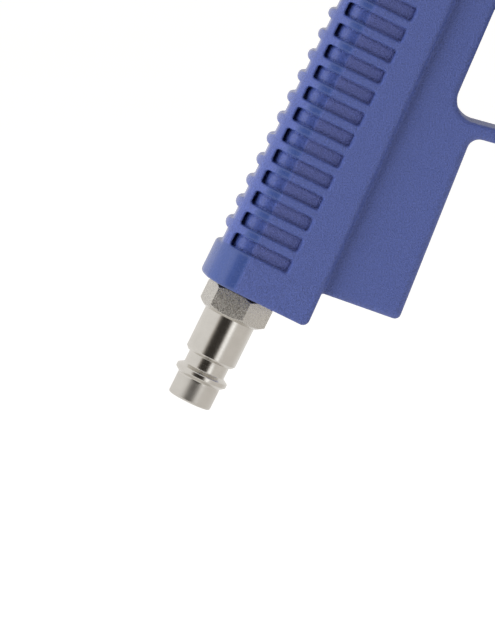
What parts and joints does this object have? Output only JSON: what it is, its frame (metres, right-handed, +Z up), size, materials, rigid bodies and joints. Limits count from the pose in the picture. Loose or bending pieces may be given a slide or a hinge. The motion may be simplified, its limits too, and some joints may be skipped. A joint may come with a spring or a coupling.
{
  "type": "desoldering pump",
  "caption": "Pistol-form air-operated vacuum desoldering pump: ribbed raked grip, finger guard, quick-connect air plug, glass solder collector and straight nozzle.",
  "frame": {"origin": "centre of the open end of the air plug, on the plug's axis", "axes": "+X along the barrel towards the nozzle, +Y out of the housing's left side, +Z up from the grip to the receiver"},
  "size_m": [0.2245, 0.032, 0.1552],
  "materials": {
    "blue_plastic": "injection-moulded, fine spark-eroded texture, semi-matt",
    "plated_steel": "satin nickel plate",
    "screw_steel": "black zinc, satin",
    "brass": "turned, satin",
    "black_rubber": "matt",
    "blue_tube": "clear-blue polyurethane tube",
    "spring_steel": "drawn wire",
    "black_plastic": "fine texture, semi-matt",
    "pin_steel": "ground",
    "anodised_aluminium": "turned, clear anodised, satin",
    "sintered_bronze": "sintered, matt",
    "silicone": "red silicone, matt",
    "glass": "clear borosilicate",
    "felt": "pressed ceramic-fibre felt",
    "ptfe": "white PTFE, waxy"
  },
  "bodies": {
    "housing": {"shell_right": "blue_plastic", "shell_left": "blue_plastic", "finger_guard": "blue_plastic", "collector_cradle": "blue_plastic", "housing_screws": "screw_steel", "air_plug": "plated_steel", "plug_seal": "black_rubber", "inlet_bushing": "brass", "supply_tube": "blue_tube", "tube_ferrules": "pin_steel", "valve_body": "brass", "valve_seat": "black_rubber", "stem_oring": "black_rubber", "valve_spring": "spring_steel", "valve_cap": "brass", "trigger_pin": "pin_steel", "transfer_tube": "pin_steel", "ejector_sleeve": "anodised_aluminium", "return_spring": "spring_steel", "rear_cap": "black_plastic", "front_gasket": "silicone", "front_head": "anodised_aluminium", "nozzle_nut": "anodised_aluminium", "nozzle_oring": "black_rubber", "nozzle": "ptfe"},
    "trigger": {"trigger": "black_plastic"},
    "valve": {"valve_stem": "pin_steel"},
    "ejector": {"ejector_body": "anodised_aluminium", "ejector_jet": "brass", "ejector_orings": "black_rubber", "diffuser_tube": "anodised_aluminium", "exhaust_knob": "black_plastic", "silencer_core": "sintered_bronze", "rear_gasket": "silicone"},
    "collector": {"collector_tube": "glass", "filter_pad": "felt", "baffle_coil": "spring_steel"}
  },
  "joints": [
    {"name": "trigger_pull", "type": "hinge", "parent": "housing", "child": "trigger", "pos_m": [0.08107, 0, 0.107], "axis": [0, 1, 0], "range_deg": [0, 7], "stiffness_Nm_per_rad": 0.8, "springref_deg": -5.73},
    {"name": "valve_slide", "type": "slide", "parent": "housing", "child": "valve", "axis": [-0.8973, 0, 0.4415], "range_m": [0, 0.0027], "deforming": ["valve_spring"]},
    {"name": "ejector_pull", "type": "slide", "parent": "housing", "child": "ejector", "axis": [-1, 0, 0], "range_m": [0, 0.008], "stiffness_N_per_m": 600, "springref_m": -0.008, "deforming": ["return_spring"]},
    {"name": "collector_lift", "type": "slide", "parent": "housing", "child": "collector", "axis": [0, 0, 1], "range_m": [0, 0.03]}
  ],
  "couplings": [
    {"joint": "valve_slide", "follows": "trigger_pull", "m_per_rad": 0.022}
  ]
}
